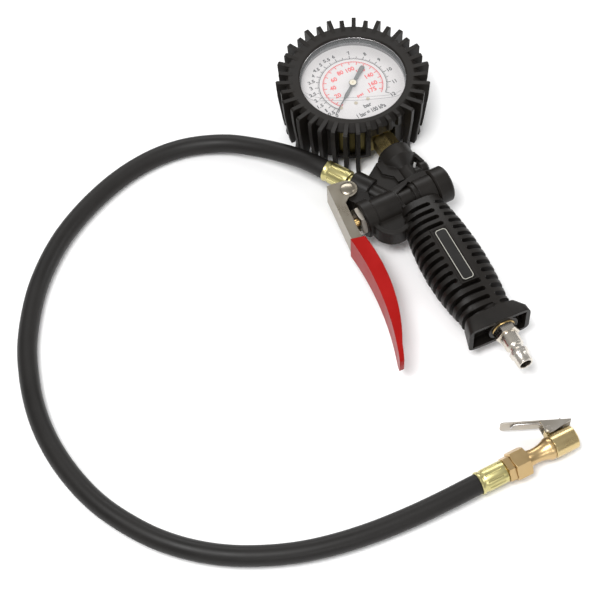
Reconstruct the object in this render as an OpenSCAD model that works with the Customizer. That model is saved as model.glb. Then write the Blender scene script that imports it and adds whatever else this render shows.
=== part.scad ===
// Pistol-grip tyre inflator with a dial gauge, a trigger lever, a hose and a clip-on chuck.
// Units are millimetres. The tool lies on its side on the plane z = 0, with the dial facing +Z.
// The valve's cross-bore runs along X, the gauge stands off it towards +Y and the handle
// points towards -Y. The origin is below the middle of the gun and gauge, on the plane.

/* [Placing] */
// X of the valve crossing, where the cross-bore meets the gauge stem
valve_x = 12; // [0:1:30]
// Y of the valve crossing
valve_y = -1.5; // [-20:0.5:20]
// Height of the valve crossing above the plane
axis_z = 21; // [20:0.5:26]

/* [Valve body] */
// Radius of the two large barrels on the cross-bore
barrel_r = 10.5; // [10:0.1:11.5]
// Radius of the flange that faces the trigger
flange_r = 12; // [11.5:0.1:13]
// X of the flange face, from the valve crossing
flange_x = -43; // [-43.4:0.1:-42.6]
// X of the right barrel's end, where the cap sits
cap_x = 8.3; // [8:0.1:8.6]
// Radius of the end cap
cap_r = 12; // [11.4:0.1:12]
// Radius of the gauge socket boss
socket_r = 11.5; // [10.5:0.1:12]
// Distance of the socket boss's mouth from the crossing
socket_y = 37; // [36:0.5:38]
// Angle of the hose boss from +X, about the axis +Z
hose_angle = 120; // [115:1:125]
// X on the cross-bore where the hose boss's axis starts
hose_x = -17.4; // [-20:0.1:-15]
// Radius of the hose boss
hose_boss_r = 8.8; // [8:0.1:9.5]

/* [Handle] */
// Rake of the handle towards the trigger, in degrees
rake = 3; // [0:0.5:5]
// X of the handle's middle, from the valve crossing
grip_x = -5.9; // [-6.5:0.1:-5]
// Half the width of the handle at its widest
grip_a = 20.2; // [19.4:0.1:20.6]
// Half the thickness of the handle at its thickest
grip_b = 14.5; // [13:0.5:15.5]
// Number of slots along the handle
slot_count = 15; // [13:1:15]
// Spacing of the slots
slot_pitch = 5.98; // [5.8:0.01:6]
// Width of one slot
slot_w = 3.2; // [2.8:0.1:3.5]

/* [Gauge] */
// Distance of the dial's centre from the valve crossing
gauge_y = 91; // [89:0.5:93]
// Radius of the gauge case
case_r = 39; // [38.5:0.1:39.5]
// Radius of the boot's long fins at the knee
fin_r = 51; // [50:0.5:52.5]
// Number of fins that would fit round the whole boot
fin_count = 37; // [35:2:39]
// Radius of the boot's aperture
aperture_r = 35; // [34:0.1:35.5]
// Angle of the pointer at zero about +Z
dial_zero = 218; // [214:1:222]

/* [Trigger] */
// X of the trigger pivot from the valve crossing
pivot_x = -42; // [-43:0.1:-41]
// Y of the trigger pivot
pivot_y = 21; // [20:0.1:22]
// Half the height of the trigger channel
channel_h = 8.5; // [8:0.1:9]
// Thickness of the trigger's sheet
sheet = 1.6; // [1.2:0.1:1.8]
// Thickness of the vinyl sleeve
vinyl = 1.2; // [0.8:0.1:1.5]

/* [Hose and chuck] */
// Outside diameter of the hose
hose_d = 12.5; // [12:0.1:12.5]
// Outside radius of the crimped ferrules
ferrule_r = 7; // [6.9:0.1:7.4]
// Y of the chuck's axis from the valve crossing
chuck_y = -189; // [-195:0.5:-180]
// Height of the chuck's axis above the plane
chuck_z = 8; // [8:0.5:10]
// X of the chuck's mouth from the valve crossing
mouth_x = -3.5; // [-6:0.5:0]
// Radius of the chuck's barrel
chuck_r = 7.25; // [7:0.05:7.5]
// Radius of the chuck's tyre-valve bore
chuck_bore_r = 4.1; // [4:0.05:4.3]

/* [Hidden] */
$fn = 64;
eps = 0.02;
run = 0.05;          // radial clearance of a running fit
slip = 0.1;          // radial clearance of a fit between fixed pieces
valve_bore_r = 5.1;
body_bore_r = 7;
pin_r = 3;
stem_r = 2.5;
ear_h = 13;          // height of the ear between the trigger's flanges
web_h = 7;           // thickness of the body's flat web
barrel_0 = -35;      // X where the left barrel meets the flange
wall_x = 5.2;        // thickness of the cap's end wall
gauge_back = 9.5;    // z of the back of the gauge case
case_top = 36.6;     // z of the rim of the gauge case
dial_z = 33.2;       // z of the dial's underside
glass_z = 38.2;      // z of the window's underside
shaft_r = 0.8;
tooth_m = 0.34;      // module of the movement's gears
pinion_n = 12;
sector_n = 108;
sector_d = tooth_m * (pinion_n + sector_n) / 2;
sector_z = 27;
sub_z = 17;           // height of the face that the movement stands on
stem_bar_r = 5.8;     // radius of the stem where it enters the case
barb_t = 3.4;        // how far the hose starts inside its ferrule, from the collar
collar_t = 33;       // distance of the hose boss's face along its axis
ferrule_l = 18;
hex_thin_x = mouth_x - 47.5;
hex_big_x = mouth_x - 43;
neck_x = mouth_x - 33;
barrel_x = mouth_x - 15.5;
chuck_pivot = [mouth_x - 12, 9.4];
chuck_web_a = -24.4; // slope of the chuck lever, in degrees
slot_first = 15.9;   // distance of the first slot from the crossing
skirt_y = 112;       // distance of the handle's end face
nut_l = 3.4;

// Route of the hose's centre line from the gun's ferrule to the chuck's ferrule,
// from the valve crossing in x and y, and from the plane in z.
hose_dir = [cos(hose_angle), sin(hose_angle)];
hose_route = [
    [-36.6, 33.256, 21], [-41, 40.88, 21], [-45, 47.8, 21], [-49, 56, 20.2], [-53.5, 65, 18],
    [-59, 74.5, 15.2], [-66, 84.5, 12.6], [-74.5, 94.5, 10.3], [-85.5, 105, 8.4],
    [-98.5, 113, 7], [-113.5, 118.5, 6.35], [-130, 120.5, 6.35], [-147, 119.3, 6.35],
    [-164, 115.5, 6.35], [-181, 109.3, 6.35], [-198.3, 100.8, 6.35], [-214.7, 90.3, 6.35],
    [-230, 77.2, 6.35], [-244.2, 61.5, 6.35], [-256, 44, 6.35], [-265.8, 25.5, 6.35],
    [-272.7, 6, 6.35], [-277.5, -14, 6.35], [-279.6, -34, 6.35], [-279, -54, 6.35],
    [-275.8, -74, 6.35], [-270, -93.6, 6.35], [-261, -112.2, 6.35], [-249.4, -129.9, 6.35],
    [-234.7, -145.7, 6.35], [-217.5, -159, 6.35], [-198.2, -169.6, 6.35], [-178, -177.6, 6.35],
    [-156.5, -183, 6.35], [-134.2, -186.4, 6.4], [-111, -188.3, 6.9], [-90, -189, 7.6],
    [-76, -189, 8], [-68, -189, 8], [-55.6, -189, 8]];

// ---- helpers -------------------------------------------------------------

module at_gun() { translate([valve_x, valve_y, axis_z]) children(); }
module at_gauge() { translate([valve_x, valve_y + gauge_y, 0]) children(); }
module at_pivot() { at_gun() translate([pivot_x, pivot_y, 0]) children(); }
module at_handle() { at_gun() rotate([0, 0, -rake]) children(); }
module at_chuck() { translate([valve_x, valve_y + chuck_y, chuck_z]) children(); }
// Turns a solid that was drawn along +Z so that it runs along +X
module along_x(x) { translate([x, 0, 0]) rotate([0, 90, 0]) children(); }
// Turns a solid that was drawn along +Z so that it runs along +Y
module along_y(y) { translate([0, y, 0]) rotate([-90, 0, 0]) children(); }
// Turns a solid that was drawn along +Z so that it runs along -Y
module along_minus_y(y) { translate([0, -y, 0]) rotate([90, 0, 0]) children(); }
// Runs a solid that was drawn along +Z out along the hose boss's axis
module along_hose(t) {
    translate([hose_x + t * hose_dir[0], t * hose_dir[1], 0])
        rotate([0, 0, hose_angle]) rotate([0, 90, 0]) children();
}
// Cylinder with a chamfer at each end
module rod(r, l, c = 0.5) {
    rotate_extrude() polygon([[0, 0], [r - c, 0], [r, c], [r, l - c], [r - c, l], [0, l]]);
}
// Ring with a rectangular section and small chamfers on the outside
module ring(ri, ro, h, c = 0.3) {
    rotate_extrude() polygon([[ri, 0], [ro - c, 0], [ro, c], [ro, h - c], [ro - c, h], [ri, h]]);
}
// Hexagonal bar across flats af along +Z, with its corners chamfered at both ends
module hexagon(af, h, c = 0.9) {
    corner = af / sqrt(3);
    intersection() {
        cylinder(r = corner, h = h, $fn = 6);
        rotate_extrude() polygon([[0, 0], [corner - c, 0], [corner, c / 2],
            [corner, h - c / 2], [corner - c, h], [0, h]]);
    }
}
// Centre of the circle through three points
function centre3(a, b, c) =
    let (d = 2 * (a[0] * (b[1] - c[1]) + b[0] * (c[1] - a[1]) + c[0] * (a[1] - b[1])),
         qa = a * a, qb = b * b, qc = c * c)
    [(qa * (b[1] - c[1]) + qb * (c[1] - a[1]) + qc * (a[1] - b[1])) / d,
     (qa * (c[0] - b[0]) + qb * (a[0] - c[0]) + qc * (b[0] - a[0])) / d];
// Points of the arc from a through b to c, n steps, moved out from its centre by grow
function arc3(a, b, c, n, grow = 0) =
    let (o = centre3(a, b, c), r = norm(a - o) + grow,
         t0 = atan2(a[1] - o[1], a[0] - o[0]), t1 = atan2(c[1] - o[1], c[0] - o[0]),
         turn = t1 - t0 > 180 ? t1 - t0 - 360 : (t1 - t0 < -180 ? t1 - t0 + 360 : t1 - t0))
    [for (i = [0 : n]) let (t = t0 + turn * i / n) [o[0] + r * cos(t), o[1] + r * sin(t)]];
function unit(v) = v / norm(v);
// Catmull-Rom point between p1 and p2
function spline(p0, p1, p2, p3, t) =
    0.5 * ((2 * p1) + (p2 - p0) * t + (2 * p0 - 5 * p1 + 4 * p2 - p3) * t * t
    + (3 * p1 - p0 - 3 * p2 + p3) * t * t * t);
// Round bar of radius r and n sides swept along the points p
module sweep(p, r, n) {
    last = len(p) - 1;
    pts = [for (i = [0 : last])
        let (d = unit(p[min(i + 1, last)] - p[max(i - 1, 0)]),
             side = unit(cross(d, abs(d[2]) > 0.9 ? [1, 0, 0] : [0, 0, 1])),
             up = cross(side, d))
        for (k = [0 : n - 1]) p[i] + r * (cos(360 * k / n) * side + sin(360 * k / n) * up)];
    walls = [for (i = [0 : last - 1]) for (k = [0 : n - 1]) for (h = [0, 1])
        h == 0 ? [i * n + k, i * n + (k + 1) % n, (i + 1) * n + (k + 1) % n]
        : [i * n + k, (i + 1) * n + (k + 1) % n, (i + 1) * n + k]];
    polyhedron(pts, concat([[for (k = [0 : n - 1]) n - 1 - k]],
        [[for (k = [0 : n - 1]) last * n + k]], walls));
}

// ---- gun: moulding ---------------------------------------------------------

// Signed power, for rounded-square sections
function spow(v, e) = v < 0 ? -pow(-v, e) : pow(v, e);
// Solid through sections [distance, middle, half width, half thickness, squareness] along -Y
module loft(sections, n) {
    last = len(sections) - 1;
    pts = [for (s = sections) for (k = [0 : n - 1])
        let (a = 360 * (k + 0.5) / n, e = 2 / s[4])
        [s[1] + s[2] * spow(cos(a), e), -s[0], s[3] * spow(sin(a), e)]];
    polyhedron(pts, concat([[for (k = [0 : n - 1]) k]], [[for (k = [0 : n - 1]) (last + 1) * n - 1 - k]],
        [for (j = [0 : last - 1]) for (k = [0 : n - 1])
            [j * n + k, (j + 1) * n + k, (j + 1) * n + (k + 1) % n, j * n + (k + 1) % n]]));
}
// How far the handle has narrowed at a distance y from the crossing, from 0 to 1
function taper(y) = y < 60 ? pow((60 - y) / 51, 2) : pow((y - 60) / 40, 2);
// Barrel-shaped handle, shrunk all round by inset
module grip_form(inset, n) {
    loft([for (y = [9 : 13 : 100])
        let (t = taper(y), top = y < 60)
        [y, grip_x + (top ? 1 : 0.9) * t, grip_a - (top ? 6.2 : 4.3) * t - inset,
         grip_b - (top ? 4.5 : 3) * t - inset, 2.5]], n);
}
// Flared skirt at the handle's end
module skirt_form() {
    loft([[97, -5.4, 15.6, 11, 4], [101.6, -3.7, 17.4, 10.9, 5], [107, -2.3, 20.1, 11.1, 6],
        [skirt_y, -2.8, 20.8, 11.4, 7]], 32);
}
// One slot with a round inner end, cut in from the side s to the distance x
module slot(s, x, y) {
    translate([0, -y]) union() {
        translate([s > 0 ? x : -32, -slot_w / 2]) square([s > 0 ? 32 - x : 32 + x, slot_w]);
        translate([x, 0]) circle(d = slot_w, $fn = 24);
    }
}
module grip_slots() {
    difference() {
        translate([0, 0, -20]) linear_extrude(40)
            for (i = [0 : slot_count - 1]) {
                y = slot_first + i * slot_pitch;
                beside = i > 3 && i < 11;
                slot(-1, beside ? -15 : -3.4 + 0.1 * i, y);
                slot(1, 2.9 + 0.12 * i, y);
            }
        grip_form(5, 20);
    }
}
module plate(h, p) {
    translate([0, 0, -h / 2]) linear_extrude(h) polygon(p);
}
module web_plate() {
    plate(web_h, [[-37, 6], [-38.5, 15], [-34, 20], [-27, 24], [-14, 33.2], [-9, 33.2], [-6, 24],
        [-6, 18], [8, 18], [13, 17], [13, 6]]);
    // raised panel beside the gauge socket
    plate(10.4, [[-15.3, 31.8], [-15.5, 22.8], [-10, 17.4], [-9.6, 12], [-5, 12], [-5, 24], [-8, 31.8]]);
    // strap across the backs of the barrels
    plate(15.6, [[-22, 4], [-19.7, 6.8], [-3.4, 10.4], [3, 11], [9, 10], [8, 6], [-4, 6], [-5.2, 7.8],
        [-7.5, 6.2], [-17.3, 2.3]]);
    // strut from the gauge socket to the bleed boss
    plate(6, [[9.5, 31], [12, 29.5], [14.2, 20.5], [11.8, 20.5], [10.8, 25.5], [9.5, 27]]);
}
// Rounded lobe below the left barrel, with a raised rim on both faces
module guard_lobe() {
    translate([-27, -10.7, 0]) difference() {
        rotate_extrude() polygon([[0, -6], [12.6, -6], [13.2, -5.4], [13.2, 5.4], [12.6, 6], [0, 6]]);
        for (s = [-1, 1]) translate([0, 0, s * 6]) cylinder(r = 10.2, h = 4.4, center = true);
    }
}
module body_solid() {
    along_x(flange_x) rod(flange_r, barrel_0 - flange_x, 0.7);
    along_x(barrel_0 - 1) rod(barrel_r, 18, 0.4);
    along_x(-19) rod(8.6, 3.4, 0.8);
    along_x(-16) cylinder(r = 7.6, h = 12);
    along_x(-6.8) rod(9.3, 6, 0.6);
    along_x(-3.7) rod(barrel_r, cap_x + 3.7, 0.3);
    along_y(3) cylinder(r = 6.2, h = 21);
    along_y(21) rotate_extrude() polygon([[0, 0], [6.2, 0], [socket_r, 6.5],
        [socket_r, socket_y - 22], [socket_r - 1, socket_y - 21], [0, socket_y - 21]]);
    along_hose(3) cylinder(r = 6, h = 17);
    along_hose(19) rod(hose_boss_r, collar_t - 19, 0.8);
    web_plate();
    // ear that carries the trigger's pin
    translate([pivot_x, pivot_y, -ear_h / 2]) cylinder(r = 5, h = ear_h);
    plate(ear_h, [[-46.9, 22], [-45.2, 15.5], [-43.4, 11.4], [flange_x + 0.4, 11], [flange_x + 0.4, 8],
        [-36, 6], [-33, 6], [-30, 18], [-38, 24]]);
    guard_lobe();
    // bleed boss beside the gauge socket
    translate([0, 16.8, 0]) along_x(8) rod(5.4, 6.2, 1.3);
    translate([0, 15, 0]) along_x(0) cylinder(r = 4.2, h = 9);
}
module body_moulding() {
    color("#1f1f20") difference() {
        union() {
            at_gun() body_solid();
            at_handle() difference() {
                union() {
                    grip_form(0, 36);
                    skirt_form();
                    translate([-12.6, -80.5, 8]) cube([12, 44, grip_b - 8.4]);
                }
                grip_slots();
                // hollow in the skirt, round the inlet boss
                translate([-20.6, -skirt_y - 1, -8.8]) cube([35.6, 7.4, 17.6]);
            }
            at_handle() along_minus_y(96) cylinder(r = 9.8, h = skirt_y - 96.4);
        }
        // room for the end cap, then the stepped cross-bore: gland, valve, spring and cap seats
        at_gun() along_x(cap_x + 0.03) cylinder(r = cap_r + 0.1, h = 12);
        at_gun() along_x(flange_x - 1) cylinder(r = body_bore_r, h = 9.5);
        at_gun() along_x(flange_x) cylinder(r = valve_bore_r, h = cap_x - flange_x - 4);
        at_gun() along_x(cap_x - 5.1) cylinder(r = 8, h = 8);
        // gauge port, hose port and the air way down the handle
        at_gun() along_y(2) cylinder(r = 2.5, h = 30);
        at_gun() along_y(socket_y - 13) cylinder(r = 6.6, h = 14);
        at_gun() along_hose(2) cylinder(r = 2.5, h = 22);
        at_gun() along_hose(collar_t - 11) cylinder(r = 5, h = 12);
        at_handle() along_minus_y(2) cylinder(r = 3.5, h = 98);
        at_handle() along_minus_y(96) cylinder(r = 7.6, h = 20);
        // pin hole through the ear, and room for the trigger's two lugs
        at_pivot() translate([0, 0, -10]) cylinder(r = pin_r + slip, h = 20);
        at_pivot() for (s = [-1, 1]) translate([0, 0, s * 8.2]) cylinder(r = 7, h = 3.2, center = true);
        // recess for the label plate
        at_handle() translate([-11.25, -79.3, grip_b - 0.8]) cube([9, 41.6, 2]);
    }
}
module end_cap() {
    color("#222223") at_gun() difference() {
        union() {
            along_x(cap_x + 0.05) rod(cap_r, 10.65, 1);
            along_x(cap_x - 5) cylinder(r = 7.9, h = 6);
        }
        along_x(cap_x - 6) cylinder(r = 5.6, h = 6 + wall_x);
    }
}

// ---- gun: valve ------------------------------------------------------------

module gland_nut() {
    color("#b9b4ab") at_gun() difference() {
        union() {
            along_x(flange_x - nut_l) rotate([0, 0, 30]) hexagon(17, nut_l - 0.05, 1.2);
            along_x(flange_x - 0.5) cylinder(r = body_bore_r - slip, h = 8);
        }
        along_x(flange_x - nut_l - 1) cylinder(r = stem_r + run, h = 16);
        along_x(flange_x - nut_l - 1) cylinder(r = 6.2, h = 2.9);
        along_x(flange_x + 3.4) cylinder(r = 4.4, h = 2);
    }
}
stem_tip = -54.35;
module valve_stem() {
    color("#b08d4a") at_gun() along_x(stem_tip) rotate_extrude() polygon([
        [0, 0], [1.3, 0.1], [2.1, 0.6], [stem_r, 1.5], [stem_r, 31.6], [4.9, 32.1],
        [4.9, 34.25], [3.6, 34.25], [3.6, 36.25], [4.9, 36.25], [4.9, 39.25], [2.2, 39.75],
        [2.2, 45.25], [4.9, 45.75], [4.9, 48.25], [3.6, 48.25], [3.6, 50.25], [4.9, 50.25],
        [4.9, 52.75], [3, 53.25], [3, 55.75], [0, 55.75]]);
}
module stem_seal() {
    color("#141414") at_gun() along_x(flange_x + 4.4) rotate_extrude()
        translate([stem_r + run + 0.85, 0]) circle(0.85, $fn = 24);
}
module piston_seals() {
    color("#141414") at_gun() for (t = [35.25, 49.25]) along_x(stem_tip + t) rotate_extrude()
        translate([4.35, 0]) circle(0.7, $fn = 24);
}
module valve_spring() {
    turns = 6;
    steps = 12;
    start = stem_tip + 53.1;
    span = cap_x + wall_x - start - 0.84;
    color("#9a9a9a") at_gun() along_x(start)
        sweep([for (i = [0 : turns * steps])
            let (a = 360 * i / steps)
            [3.9 * cos(a), 3.9 * sin(a), 0.45 + span * i / (turns * steps)]], 0.4, 5);
}

// ---- gun: trigger ------------------------------------------------------------

// Points of the trigger's side outline, from the valve crossing
outer_top = [-52.6, 29];
outer_bend = [-58, -13];
outer_mid = [-59.2, -49.4];
tip = [-73.2, -104.6];
inner_top = [-51.5, -14];
inner_mid = [-55, -61.6];
inner_end = [-72.2, -102];
// Outline of the lever below the bend, grown all round by g
function lever_outline(g) = concat(
    [for (i = [0 : 13]) arc3(outer_bend, outer_mid, tip, 14, -g)[i]],
    [tip + [-0.3 - g * 0.7, 0.4 - g * 0.7], tip + [1.2 + g * 0.6, 0.4 - g * 0.7]],
    [for (i = [13 : -1 : 0]) arc3(inner_top, inner_mid, inner_end + [0, 0.6], 14, g)[i]]);
// Keeps the lever's half height h, then rounds it off towards the tip, at a distance y
module lever_end(h, y) {
    intersection() {
        children();
        translate([-90, 0, 0]) rotate([90, 0, 90]) linear_extrude(60)
            polygon(concat([[40, -h - 4], [40, h + 4], [-y + 9, h + 4], [-y + 9, h]],
                [for (t = [8 : 8 : 80]) [-y + 9 - 8.6 * sin(t), 2 + (h - 2) * cos(t)]],
                [[-y, 1.4], [-y, -1.4]],
                [for (t = [80 : -8 : 8]) [-y + 9 - 8.6 * sin(t), -2 - (h - 2) * cos(t)]],
                [[-y + 9, -h], [-y + 9, -h - 4]]));
    }
}
module flange_2d() {
    difference() {
        union() {
            polygon(concat([outer_top], lever_outline(0),
                [[-48, 12], [-44, 15], [-38, 15.9], [-41, 27.3], [-47, 28.6]]));
            translate([pivot_x, pivot_y]) circle(6.4);
        }
        translate([pivot_x, pivot_y]) circle(pin_r + run);
    }
}
module trigger_lever() {
    color("#b5b0a8") at_gun() lever_end(channel_h, 104.6) union() {
        for (z = [-channel_h, channel_h - sheet])
            translate([0, 0, z]) linear_extrude(sheet) flange_2d();
        translate([0, 0, -channel_h]) linear_extrude(2 * channel_h) intersection() {
            polygon(concat([outer_top], arc3(outer_bend, outer_mid, tip, 14),
                [for (i = [14 : -1 : 0]) arc3(outer_bend, outer_mid, tip, 14, sheet)[i]],
                [outer_top + [sheet, -0.1]]));
            union() {
                polygon(lever_outline(0));
                translate([-62, -40]) square([14, 70]);
            }
        }
    }
}
module lever_sleeve() {
    gap = 0.1;
    color("#b01c1e") at_gun() difference() {
        lever_end(channel_h + vinyl, 106.2) translate([0, 0, -channel_h - vinyl])
            linear_extrude(2 * (channel_h + vinyl)) polygon(lever_outline(vinyl));
        lever_end(channel_h + gap, 104.9) translate([0, 0, -channel_h - gap])
            linear_extrude(2 * (channel_h + gap)) polygon(lever_outline(gap));
        translate([0, 0, -12]) linear_extrude(24)
            polygon([[-70, -12.2], [-70, 0], [-40, 0], [-40, -19.6]]);
    }
}
module lever_pin() {
    color("#b0aca4") at_pivot() rotate_extrude() polygon([
        [0, -channel_h - 1.1], [3.4, -channel_h - 1], [4.8, -channel_h - 0.3],
        [4.8, -channel_h - run], [pin_r, -channel_h - run], [pin_r, channel_h + run],
        [4.8, channel_h + run], [4.8, channel_h + 0.3], [3.4, channel_h + 1],
        [0, channel_h + 1.1]]);
}
module label_plate() {
    color("#26262a") at_handle() translate([-6.75, -58.5, grip_b - 0.75]) linear_extrude(0.55)
        union() {
            square([8, 37.4], center = true);
            square([5, 40.4], center = true);
            for (sx = [-2.5, 2.5]) for (sy = [-18.7, 18.7]) translate([sx, sy]) circle(1.5, $fn = 24);
        }
}

// ---- gun: inlet --------------------------------------------------------------

module inlet_insert() {
    color("#a8853f") at_handle() along_minus_y(97) difference() {
        rod(7.5, 15.4, 0.4);
        translate([0, 0, -1]) cylinder(r = 5.2, h = 18);
    }
}
// Quick-connect nipple: thread, hexagon, barrel, groove, collar and nose
module inlet_plug() {
    color("#bab5ac") at_handle() difference() {
        union() {
            along_minus_y(101) cylinder(r = 5.1, h = 12);
            along_minus_y(112.5) hexagon(14, 5.2);
            along_minus_y(117.5) rotate_extrude() polygon([
                [0, 0], [5.8, 0], [5.8, 8.6], [5, 9.6], [4.5, 9.9], [4.5, 11.8], [5.1, 12.3],
                [5.95, 12.9], [5.95, 15], [5.2, 16], [5, 16.4], [5, 21.6], [4.6, 22.2], [0, 22.2]]);
        }
        along_minus_y(100) cylinder(r = 3.7, h = 42);
    }
}

// ---- gauge: connection and case ---------------------------------------------

module gauge_stem() {
    color("#a08040") difference() {
        union() {
            at_gun() along_y(socket_y - 12.5) cylinder(r = 6.5, h = 13);
            at_gun() along_y(socket_y + 0.05) rotate([0, 0, 30]) hexagon(14, 13);
            at_gun() along_y(socket_y + 12.5) cylinder(r = stem_bar_r, h = 10);
            at_gauge() translate([-8, -34, 15]) cube([16, 9, 11.5]);
            at_gauge() translate([-8, -34, 13]) cube([16, 22, sub_z - 13]);
        }
        at_gun() along_y(socket_y - 13) cylinder(r = 2, h = 36);
    }
}
module gauge_case() {
    color("#303032") at_gauge() difference() {
        union() {
            translate([0, 0, gauge_back]) rod(case_r, case_top - gauge_back, 1.2);
        }
        translate([0, 0, gauge_back + 1.2]) cylinder(r = case_r - 1.2, h = case_top);
        translate([0, 0, axis_z]) along_minus_y(30) cylinder(r = stem_bar_r, h = 12);
    }
}
// Places of the three dial screws, as radius and angle about the dial's centre
screw_at = [[21, -140], [15.6, -111], [15.6, -79]];
// Places of the pillars between the movement's two plates
pillar_at = [[0, 8], [9, -20], [-8.5, -18]];
module frame_plate() {
    polygon([[-11, -24], [11.5, -24], [11.5, -16], [7, -8], [7, 4], [4, 10.5], [-4, 10.5],
        [-7, 4], [-7, -8], [-11, -12]]);
}
module movement_frame() {
    top = sub_z + 14;
    color("#b59a5a") at_gauge() difference() {
        union() {
            translate([0, 0, sub_z + 0.02]) linear_extrude(1.2) frame_plate();
            translate([0, 0, top - 1.2]) linear_extrude(1.2) union() {
                frame_plate();
                translate([-18, -16]) square([9, 5]);
            }
            for (p = pillar_at) translate([p[0], p[1], sub_z + 1]) cylinder(r = 1.3, h = 12.5);
            for (q = screw_at) rotate([0, 0, q[1]]) translate([q[0], 0, top - 0.5])
                cylinder(r = 1.6, h = dial_z - top + 0.5);
            // stud for the hair spring's outer end
            translate([-6.3, 0, sub_z + 1]) cylinder(r = 0.5, h = 5);
        }
        translate([0, 0, 10]) cylinder(r = shaft_r + run, h = 30);
        translate([0, -sector_d, 10]) cylinder(r = 1 + run, h = 30);
    }
}
module movement_screws() {
    color("#c9b070") at_gauge() for (x = [-5.5, 5.5])
        translate([x, -15, sub_z + 1.24]) rod(1.5, 1.4, 0.3);
}
// Flattened C-shaped tube from the stem block round to its closed tip
module bourdon_tube() {
    color("#a87f3c") at_gauge() translate([0, 0, 22.5]) rotate([0, 0, -76])
        difference() {
            rotate_extrude(angle = 276) tube_section(3, 8.5);
            rotate([0, 0, -1]) rotate_extrude(angle = 275) tube_section(2.2, 7.7);
        }
}
module tube_section(w, h) {
    translate([29, 0]) union() {
        square([w, h - w], center = true);
        for (s = [-1, 1]) translate([0, s * (h - w) / 2]) circle(d = w, $fn = 24);
    }
}
// Rod from the tube's tip towards the sector gear's tail
module tube_link() {
    tail = [15 * cos(207), 15 * sin(207) - sector_d];
    color("#b59a5a") at_gauge() {
        translate([0, 0, 28.3]) linear_extrude(0.8) difference() {
            union() {
                translate([-26.6, -9.6]) circle(1.5, $fn = 32);
                translate(tail) circle(1.5, $fn = 32);
                polygon([[-27.3, -10.1], [-25.9, -9.1], tail + [0.7, 0.5], tail - [0.7, 0.5]]);
            }
            translate(tail) circle(0.8, $fn = 32);
        }
        translate([-26.6, -9.6, 26.7]) cylinder(r = 1.1, h = 2, $fn = 32);
    }
}

// ---- gauge: movement and dial -------------------------------------------------

// One straight-sided tooth on a circle of radius r, thinner than half the pitch
module tooth(r) {
    polygon([[r - 1.1 * tooth_m, -0.52 * tooth_m], [r + 0.75 * tooth_m, -0.22 * tooth_m],
        [r + 0.75 * tooth_m, 0.22 * tooth_m], [r - 1.1 * tooth_m, 0.52 * tooth_m]]);
}
module sector_gear() {
    r = tooth_m * sector_n / 2;
    color("#c2a766") at_gauge() translate([0, -sector_d, sector_z]) {
        linear_extrude(1) union() {
            rotate([0, 0, -15]) difference() {
                intersection() {
                    circle(r - 1.05 * tooth_m, $fn = 96);
                    polygon([[0, 0], [-13, 22], [13, 22]]);
                }
                intersection() {
                    circle(r - 4, $fn = 96);
                    difference() {
                        polygon([[0, 1], [-8.4, 18], [8.4, 18]]);
                        circle(5);
                    }
                }
            }
            circle(3);
            rotate([0, 0, 207]) translate([0, -1]) square([16, 2]);
        }
        linear_extrude(1) for (i = [-12 : 3]) rotate([0, 0, 90 + 360 / sector_n * i]) tooth(r);
        translate([0, 0, sub_z + 0.1 - sector_z]) cylinder(r = 1, h = 15);
    }
}
module pointer_shaft() {
    r = tooth_m * pinion_n / 2;
    color("#c2a766") at_gauge() {
        translate([0, 0, sub_z + 0.1]) cylinder(r = shaft_r, h = dial_z + 1.9 - sub_z);
        translate([0, 0, sector_z - 0.5]) linear_extrude(2) union() {
            circle(r - tooth_m * 1.05, $fn = 32);
            for (i = [0 : pinion_n - 1])
                rotate([0, 0, 270 + 360 / pinion_n * (i + 0.5)]) tooth(r);
        }
        // collet of the hair spring
        translate([0, 0, 21.4]) cylinder(r = 0.95, h = 1.2, $fn = 32);
    }
}
module hair_spring() {
    steps = 14;
    turns = 3.5;
    color("#8c8c90") at_gauge() translate([0, 0, 22])
        sweep([for (i = [0 : steps * turns])
            let (a = 360 * i / steps, r = 1.2 + 4.8 * i / (steps * turns))
            [r * cos(a), r * sin(a), 0]], 0.2, 4);
}
module dial_plate() {
    color("#eeeeec") at_gauge() translate([0, 0, dial_z]) difference() {
        cylinder(r = 37, h = 0.8, $fn = 96);
        translate([0, 0, -1]) cylinder(r = 1.8, h = 3);
    }
}
module dial_screws() {
    color("#b59a5a") at_gauge() for (s = screw_at)
        rotate([0, 0, s[1]]) translate([s[0], 0, dial_z + 0.82]) rod(1.25, 0.5, 0.15);
}
module pointer() {
    color("#3c3e3c") at_gauge() difference() {
        rotate([0, 0, dial_zero]) translate([0, 0, dial_z + 1.75]) union() {
            linear_extrude(0.5) union() {
                translate([-15.2, 0]) circle(1.6, $fn = 32);
                polygon([[-15.2, -1.58], [-15.2, 1.58], [-3, 1.1], [3, 0.9], [10.5, 1.2],
                    [14.5, 0.35], [27.6, 0.18], [27.9, 0], [27.6, -0.18], [14.5, -0.35],
                    [10.5, -1.2], [3, -0.9], [-3, -1.1]]);
            }
            translate([0, 0, -0.4]) rod(2.3, 1.9, 0.4);
        }
        translate([0, 0, dial_z]) cylinder(r = shaft_r + run / 5, h = 2.1);
    }
}
module spacer_ring() {
    color("#8c8e90") at_gauge() translate([0, 0, dial_z + 0.85]) ring(34.3, 37, 2.75, 0.2);
}
module gauge_window() {
    color("#dfe6e8", 0.3) at_gauge() translate([0, 0, glass_z]) cylinder(r = 38.6, h = 2, $fn = 96);
}
module window_gasket() {
    color("#1a1a1a") at_gauge() translate([0, 0, glass_z - 1.3]) ring(35.8, 38.4, 1.25, 0.2);
}
module bezel_ring() {
    color("#9fa1a3") at_gauge() translate([0, 0, glass_z - 10.1]) rotate_extrude()
        polygon([[39.1, 6.4], [40, 6.4], [40.4, 6.8], [40.4, 10.3], [39.2, 12.5], [38.2, 12.9],
            [34.9, 12.9], [34.9, 12.2], [39.1, 12.2]]);
}
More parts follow.
